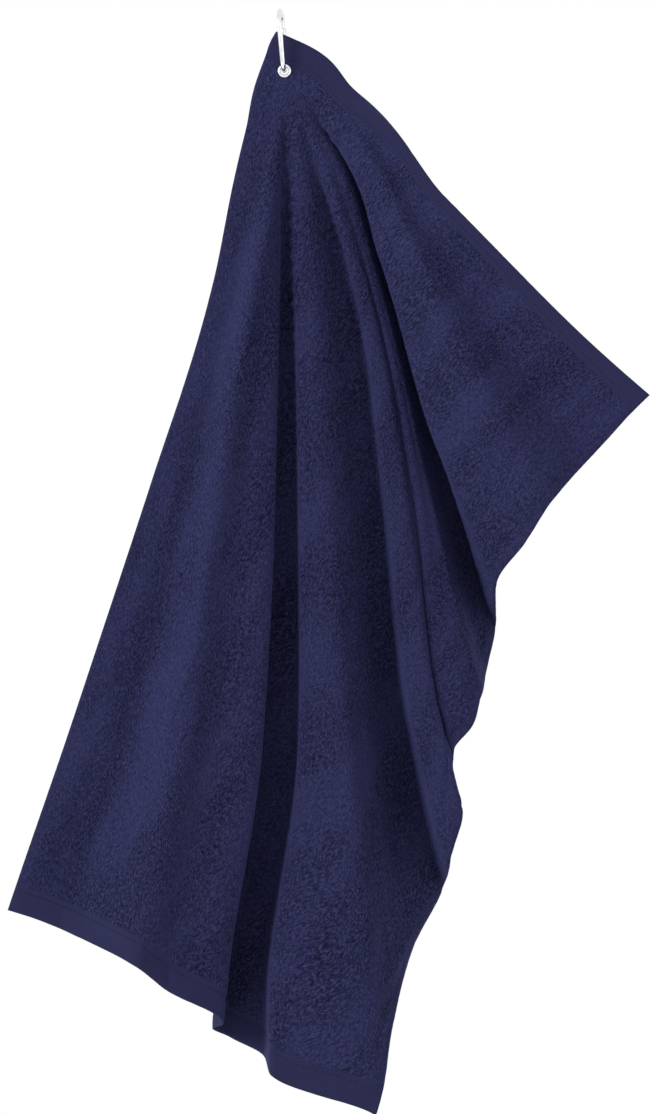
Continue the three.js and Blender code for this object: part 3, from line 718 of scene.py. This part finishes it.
def metalMaterial(name, metal):
    material, tree, shader = newMaterial(name)
    place = addNode(tree, "ShaderNodeTexCoord")
    smears = addNode(tree, "ShaderNodeTexNoise", Scale=240.0, Detail=4.0)
    wire(tree, place, smears, output="Object")
    grain = addNode(tree, "ShaderNodeTexNoise", Scale=2600.0, Detail=2.0)
    wire(tree, place, grain, output="Object")
    smooth, dulled = metal["roughness"] * 0.7, metal["roughness"] * 1.6
    roughness = remap(tree, smears.outputs["Fac"], 0.3, 0.75, smooth, dulled)
    tree.links.new(roughness, shader.inputs["Roughness"])
    dull = tuple(0.86 * channel for channel in metal["colour"])
    colour = mixColours(tree, smears.outputs["Fac"], dull, metal["colour"])
    tree.links.new(colour, shader.inputs["Base Color"])
    bump = addNode(tree, "ShaderNodeBump", Strength=metal["scratch"], Distance=0.05 * mm)
    wire(tree, grain, bump, output="Fac", entry="Height")
    wire(tree, bump, shader, entry="Normal")
    shader.inputs["Metallic"].default_value = 1
    return material


grommet = {
    "hole": 2.7 * mm,
    "wall": 0.5 * mm,
    "flange": 4.8 * mm,
    "facePlate": 0.95 * mm,
    "lip": 0.25 * mm,
    "height": 1.15 * mm,
    "backFace": 1.5 * mm,
    "curlRadius": 0.95 * mm,
    "curlLift": 0.2 * mm,
    "curlHeight": 0.85 * mm,
    "washerFront": 0.95 * mm,
    "washerRim": 1.42 * mm,
    "washerCrown": 1.5 * mm,
    "washerEdge": 1.2 * mm,
    "curveSteps": 10,
    "segments": 64,
}


# Turns a closed profile of (radius, distance behind the cloth's middle) pairs about the fore-aft line.
def turnProfile(bm, profile, centre, segments):
    verts = [bm.verts.new((radius, along, 0)) for radius, along in profile]
    edges = [bm.edges.new(pair) for pair in zip(verts, verts[1:] + verts[:1])]
    bmesh.ops.spin(bm, geom=verts + edges, cent=(0, 0, 0), axis=(0, 1, 0), angle=2 * math.pi,
                   steps=segments, use_merge=True)
    bmesh.ops.remove_doubles(bm, verts=bm.verts, dist=1e-7)
    bmesh.ops.recalc_face_normals(bm, faces=bm.faces)
    bmesh.ops.translate(bm, vec=centre, verts=bm.verts)


def buildEyelet(material):
    centre = (Vector(eyeletLow) + Vector(eyeletHigh)) / 2
    centre.y = rodCentre.y
    hole, outer, plate = grommet["hole"], grommet["flange"], grommet["facePlate"]
    barrel = hole + grommet["wall"]
    backFace = grommet["backFace"]
    count = grommet["curveSteps"]
    middle, half = (hole + outer) / 2, (outer - hole) / 2
    arch = []
    for k in range(count + 1):
        angle = math.pi * k / count
        rise = grommet["height"] * math.sin(angle)
        arch.append((middle - half * math.cos(angle), -plate - grommet["lip"] - rise))
    curl = []
    curlMiddle = hole + grommet["curlRadius"]
    for k in range(count + 1):
        angle = math.pi * (1 - k / count)
        rise = grommet["curlLift"] + grommet["curlHeight"] * math.sin(angle)
        curl.append((curlMiddle - grommet["curlRadius"] * math.cos(angle), backFace + rise))
    profile = arch + [(outer, -plate), (barrel, -plate), (barrel, backFace)] + [(curl[0][0], backFace)] + curl
    bm = bmesh.new()
    turnProfile(bm, profile, centre, grommet["segments"])
    return finishPiece(pieceFrom("grommetEyelet", bm), "towel", material, "bright_nickel", "grommet_eyelet")


def buildWasher(material):
    low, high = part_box("grommet_washer")
    centre = (Vector(low) + Vector(high)) / 2
    centre.y = rodCentre.y
    inner = grommet["hole"] + grommet["wall"] + 0.05 * mm
    outer = grommet["flange"]
    front, rim = grommet["washerFront"], grommet["washerRim"]
    profile = [(inner, front), (inner, rim), (outer - 0.6 * mm, grommet["washerCrown"]),
               (outer - 0.2 * mm, rim), (outer, grommet["washerEdge"]), (outer, front)]
    bm = bmesh.new()
    turnProfile(bm, profile, centre, grommet["segments"])
    return finishPiece(pieceFrom("grommetWasher", bm), "towel", material, "bright_nickel", "grommet_washer")


hook = {
    "length": 45 * mm,
    "width": 24 * mm,
    "neck": 19 * mm,
    "rod": 3.4 * mm,
    "turn": 6,
    "pivotRise": 4 * mm,
    "gateDiameter": 4.6 * mm,
    "gateBore": 2.9 * mm,
    "tongueThickness": 1.5 * mm,
    "tongueWidth": 2.8 * mm,
    "latchDiameter": 1.4 * mm,
    "latchLength": 3.2 * mm,
    "latchDepth": 2.6 * mm,
    "borePlug": 3 * mm,
    "shoulderGap": 1.6 * mm,
    "fit": 0.3 * mm,
    "sunk": 1 * mm,
    "endRound": 0.35 * mm,
    "bluntAngle": 40,
    "frameBevel": 0.12 * mm,
    "gateBevel": 0.1 * mm,
    "sides": 32,
}
rodRadius = hook["rod"] / 2
topBend = (hook["width"] - hook["rod"]) / 2
bottomBend = (hook["neck"] - hook["rod"]) / 2
topCentre = rodRadius - topBend
bottomCentre = hook["rod"] - hook["length"] + rodRadius + bottomBend
legLean = math.asin((topBend - bottomBend) / (topCentre - bottomCentre))
legLength = (topCentre - bottomCentre) * math.cos(legLean)
tongueTip = hook["tongueWidth"] / 2
shoulder = hook["pivotRise"] - tongueTip - hook["shoulderGap"]
gateFoot = hook["pivotRise"] - tongueTip - hook["shoulderGap"] / 2
forkTop = hook["pivotRise"] + tongueTip + hook["fit"]
gateTop = legLength - hook["fit"]
latchAlong = gateTop - hook["latchDepth"]
boreTop = latchAlong - hook["borePlug"]
# the hook's own frame (x through it, y towards the gate) and the gate leg's (z up along the leg)
hookTurn = Matrix.Rotation(math.radians(-hook["turn"]), 4, "Z")
legPlace = hookTurn @ Matrix.Translation((0, bottomBend * math.cos(legLean),
                                          bottomCentre - bottomBend * math.sin(legLean)))
legPlace = legPlace @ Matrix.Rotation(-legLean, 4, "X")


# One ring across a path in the hook's own plane.
def ringAcross(bm, place, direction, radius, sides):
    across = Vector((1, 0, 0))
    upward = direction.cross(across)
    matrix = Matrix((across, upward, direction)).transposed().to_4x4()
    matrix.translation = place
    made = bmesh.ops.create_circle(bm, segments=sides, radius=radius, matrix=matrix)
    return list({edge for vert in made["verts"] for edge in vert.link_edges})


# A closed round bar along a flat path, with its two ends rounded off.
def sweepBar(bm, path, radius, sides, rounding):
    rings = []
    last = len(path) - 1
    for k, place in enumerate(path):
        direction = (path[min(k + 1, last)] - path[max(k - 1, 0)]).normalized()
        if k in (0, last):
            outward = direction if k else -direction
            ends = []
            for inset, rise in ((0.0, 0.0), (0.3, 0.71), (1.0, 1.0)):
                middle = place + outward * rounding * (rise - 1)
                ends.append(ringAcross(bm, middle, direction, radius - rounding * inset, sides))
            rings += ends if k else ends[::-1]
        else:
            rings.append(ringAcross(bm, place, direction, radius, sides))
    for first, second in zip(rings, rings[1:]):
        bmesh.ops.bridge_loops(bm, edges=first + second)
    bmesh.ops.contextual_create(bm, geom=rings[0])
    bmesh.ops.contextual_create(bm, geom=rings[-1])


def arcPath(centre, radius, start, end, count):
    angles = [math.radians(start + (end - start) * k / count) for k in range(count + 1)]
    return [Vector((0, radius * math.cos(angle), centre + radius * math.sin(angle))) for angle in angles]


# A flat plate across x with one half-round end: a strip extruded from its outline.
def addTongue(bm, low, high, half, thickness, matrix):
    angles = [math.pi * k / 12 for k in range(13)]
    roundEnd = [(half * math.cos(angle), high + half * math.sin(angle)) for angle in angles]
    outline = [(half, low)] + roundEnd + [(-half, low)]
    verts = [bm.verts.new((-thickness / 2, y, z)) for y, z in outline]
    face = bm.faces.new(verts)
    made = bmesh.ops.extrude_face_region(bm, geom=[face])
    moved = [item for item in made["geom"] if isinstance(item, bmesh.types.BMVert)]
    bmesh.ops.translate(bm, vec=(thickness, 0, 0), verts=moved)
    bmesh.ops.transform(bm, matrix=matrix, verts=verts + moved)


def addCrossBar(bm, radius, length, along, matrix):
    place = matrix @ Matrix.Translation((0, 0, along)) @ Matrix.Rotation(math.pi / 2, 4, "Y")
    bmesh.ops.create_cone(bm, cap_ends=True, segments=24, radius1=radius, radius2=radius, depth=length,
                          matrix=place)


def softenEdges(bm, width):
    blunt = math.radians(hook["bluntAngle"])
    sharp = [edge for edge in bm.edges if edge.is_manifold and edge.calc_face_angle(0) > blunt]
    bmesh.ops.bevel(bm, geom=sharp, offset=width, segments=2, profile=0.5, affect="EDGES",
                    material=-1, clamp_overlap=True)


def buildHookFrame(material):
    lean = math.degrees(legLean)
    toHook = hookTurn.inverted() @ legPlace
    path = [toHook @ Vector((0, 0, shoulder))]
    path += [toHook @ Vector((0, 0, shoulder * (1 - k / 3))) for k in (1, 2)]
    path += arcPath(bottomCentre, bottomBend, -lean, -180 + lean, 56)
    start, end = path[-1], arcPath(topCentre, topBend, -180 + lean, -360 - lean, 72)
    path += [start.lerp(end[0], k / 10) for k in range(1, 10)] + end
    bm = bmesh.new()
    latchRadius, sunk = hook["latchDiameter"] / 2, hook["sunk"]
    addTongue(bm, shoulder - sunk, hook["pivotRise"], tongueTip, hook["tongueThickness"], toHook)
    addTongue(bm, latchAlong, legLength + sunk, latchRadius, hook["tongueThickness"], toHook)
    addCrossBar(bm, latchRadius, hook["latchLength"], latchAlong, toHook)
    softenEdges(bm, hook["frameBevel"])
    sweepBar(bm, path, rodRadius, hook["sides"], hook["endRound"])
    bmesh.ops.recalc_face_normals(bm, faces=bm.faces)
    return finishPiece(pieceFrom("hookFrame", bm, hookTurn), "hook", material, "bright_nickel", "hook_frame")


# Angles round the gate's tube, from its outer side (+y) towards +x, with a line at each side of its slots.
def gateAngles(slotAngle, wideAngle):
    quarter = sorted([7.5 * k for k in range(12)] + [slotAngle, wideAngle])
    quarter = [angle for angle in quarter if angle in (slotAngle, wideAngle)
               or min(abs(angle - slotAngle), abs(angle - wideAngle)) > 2]
    half = quarter + [90] + [180 - angle for angle in quarter]
    return sorted({side * angle % 360 for angle in half for side in (1, -1)})


# Leaves the slots out of the gate's shell: a fork at its foot, and the latch's slot at its head.
def cutGateSlots(bm, slot, wide, floor, roof):
    gone = []
    for face in bm.faces:
        spot = face.calc_center_median()
        inSlot = abs(spot.x) < slot
        atFoot = inSlot and spot.z < forkTop
        atHead = inSlot and spot.y > 0 and spot.z > floor
        atLatch = abs(spot.x) < wide and spot.y > 0 and floor < spot.z < roof
        if atFoot or atHead or atLatch:
            gone.append(face)
    bmesh.ops.delete(bm, geom=gone, context="FACES")
    loose = [vert for vert in bm.verts if not vert.link_faces]
    bmesh.ops.delete(bm, geom=loose, context="VERTS")


# Gives the gate's shell its wall: a narrower copy inside it, bridged to it round both ends.
def thickenGate(bm, ratio, middle):
    made = bmesh.ops.duplicate(bm, geom=bm.verts[:] + bm.edges[:] + bm.faces[:])
    for item in made["geom"]:
        if isinstance(item, bmesh.types.BMVert):
            item.co.x *= ratio
            item.co.y *= ratio
    innerFaces = [item for item in made["geom"] if isinstance(item, bmesh.types.BMFace)]
    bmesh.ops.reverse_faces(bm, faces=innerFaces)
    for upper in (True, False):
        rim = [edge for edge in bm.edges if edge.is_boundary and (edge.verts[0].co.z > middle) == upper]
        bmesh.ops.bridge_loops(bm, edges=rim)
    bmesh.ops.recalc_face_normals(bm, faces=bm.faces)


def buildGate(material):
    outer, inner = hook["gateDiameter"] / 2, hook["gateBore"] / 2
    slot = hook["tongueThickness"] / 2 + hook["fit"]
    wide = hook["latchLength"] / 2 + hook["fit"]
    floor = latchAlong - hook["latchDiameter"] / 2 - hook["fit"]
    roof = latchAlong + hook["latchDiameter"] / 2 + hook["fit"]
    angles = gateAngles(math.degrees(math.asin(slot / outer)), math.degrees(math.asin(wide / outer)))
    bm = bmesh.new()
    rings = []
    for height in (gateFoot, forkTop, boreTop, floor, roof, gateTop):
        spots = [(outer * math.sin(math.radians(angle)), outer * math.cos(math.radians(angle)), height)
                 for angle in angles]
        rings.append([bm.verts.new(spot) for spot in spots])
    for low, high in zip(rings, rings[1:]):
        for k in range(len(angles)):
            after = (k + 1) % len(angles)
            bm.faces.new((low[k], high[k], high[after], low[after]))
    cutGateSlots(bm, slot, wide, floor, roof)
    thickenGate(bm, inner / outer, (forkTop + floor) / 2)
    softenEdges(bm, hook["gateBevel"])
    # a plug closes the bore between the plunger's spring and the latch
    plugRadius = inner - 0.02 * mm
    place = Matrix.Translation((0, 0, (boreTop + floor) / 2))
    bmesh.ops.create_cone(bm, cap_ends=True, segments=32, radius1=plugRadius, radius2=plugRadius,
                          depth=floor - boreTop, matrix=place)
    bmesh.ops.recalc_face_normals(bm, faces=bm.faces)
    return finishPiece(pieceFrom("hookGate", bm, legPlace), "gate", material, "bright_nickel", "hook_gate")


studio = {
    "lens": 200,
    "frameHeight": 0.7715,
    "roll": cloth["restSwing"],
    "aimAcross": 6.1 * mm,
    "aimBelow": 377.95 * mm,
    "keyPlace": (-1.7, -1.5, 0.9),
    "keySize": (0.9, 1.2),
    "keyPower": 46,
    "fillPlace": (1.9, -1.6, 0.2),
    "fillSize": (1.4, 1.4),
    "fillPower": 7,
    "roomLight": 1.0,
    "floorDrop": 0.24,
    "floorRadius": 2.4,
    "floorColour": (0.86, 0.86, 0.86, 1),
}


def buildCamera():
    data = bpy.data.cameras.new("camera")
    data.sensor_fit = "VERTICAL"
    data.sensor_height = 36
    data.sensor_width = 36
    data.lens = studio["lens"]
    camera = bpy.data.objects.new("camera", data)
    scene.collection.objects.link(camera)
    away = studio["frameHeight"] * data.lens / data.sensor_height
    aim = Vector((studio["aimAcross"], rodCentre.y, -studio["aimBelow"]))
    camera.matrix_world = (Matrix.Translation(aim - Vector((0, away, 0)))
                           @ Matrix.Rotation(math.radians(studio["roll"]), 4, "Y")
                           @ Matrix.Rotation(math.pi / 2, 4, "X"))
    data.clip_end = 100
    scene.camera = camera


def addSoftLight(name, place, target, size, power):
    data = bpy.data.lights.new(name, "AREA")
    data.shape = "RECTANGLE"
    data.size, data.size_y = size
    data.energy = power
    light = bpy.data.objects.new(name, data)
    scene.collection.objects.link(light)
    facing = (target - place).to_track_quat("-Z", "Y")
    light.matrix_world = Matrix.Translation(place) @ facing.to_matrix().to_4x4()


def buildStage():
    middle = (Vector(clothLow) + Vector(clothHigh)) / 2
    keyPlace, fillPlace = middle + Vector(studio["keyPlace"]), middle + Vector(studio["fillPlace"])
    addSoftLight("keyLight", keyPlace, middle, studio["keySize"], studio["keyPower"])
    addSoftLight("fillLight", fillPlace, middle, studio["fillSize"], studio["fillPower"])
    world = bpy.data.worlds.new("studio")
    world.use_nodes = True
    background = world.node_tree.nodes["Background"]
    background.inputs["Color"].default_value = (1, 1, 1, 1)
    background.inputs["Strength"].default_value = studio["roomLight"]
    scene.world = world
    scene.view_settings.view_transform = "Standard"
    bm = bmesh.new()
    bmesh.ops.create_circle(bm, cap_ends=True, segments=96, radius=studio["floorRadius"])
    bmesh.ops.translate(bm, vec=(0, 0, clothLow[2] - studio["floorDrop"]), verts=bm.verts)
    floor = pieceFrom("floor", bm, smooth=False)
    material, tree, shader = newMaterial("paleFloor")
    shader.inputs["Base Color"].default_value = studio["floorColour"]
    shader.inputs["Roughness"].default_value = 0.8
    floor.data.materials.append(material)


buildCamera()
buildStage()
print("camera, lights and floor made")

clothGrid = refined(settledGrid(), cloth["refine"])
terryPiece = finishPiece(buildCloth(clothGrid), "towel", terryMaterial(), "terry_cloth", "towel_cloth")
print("cloth made with", len(terryPiece.data.polygons), "faces")
seams = buildSeams(clothGrid)
print("seams stitched")

nickelFinish = metalMaterial("brightNickel", nickel)
steelFinish = metalMaterial("plainSteel", steel)
eyelet = buildEyelet(nickelFinish)
washer = buildWasher(nickelFinish)
print("grommet made")

buildHookFrame(nickelFinish)
buildGate(nickelFinish)
print("hook made")
for name in ("gate_pivot_pin", "gate_plunger", "gate_spring"):
    node = bpy.data.objects[name]
    node.data.materials.clear()
    node.data.materials.append(steelFinish)
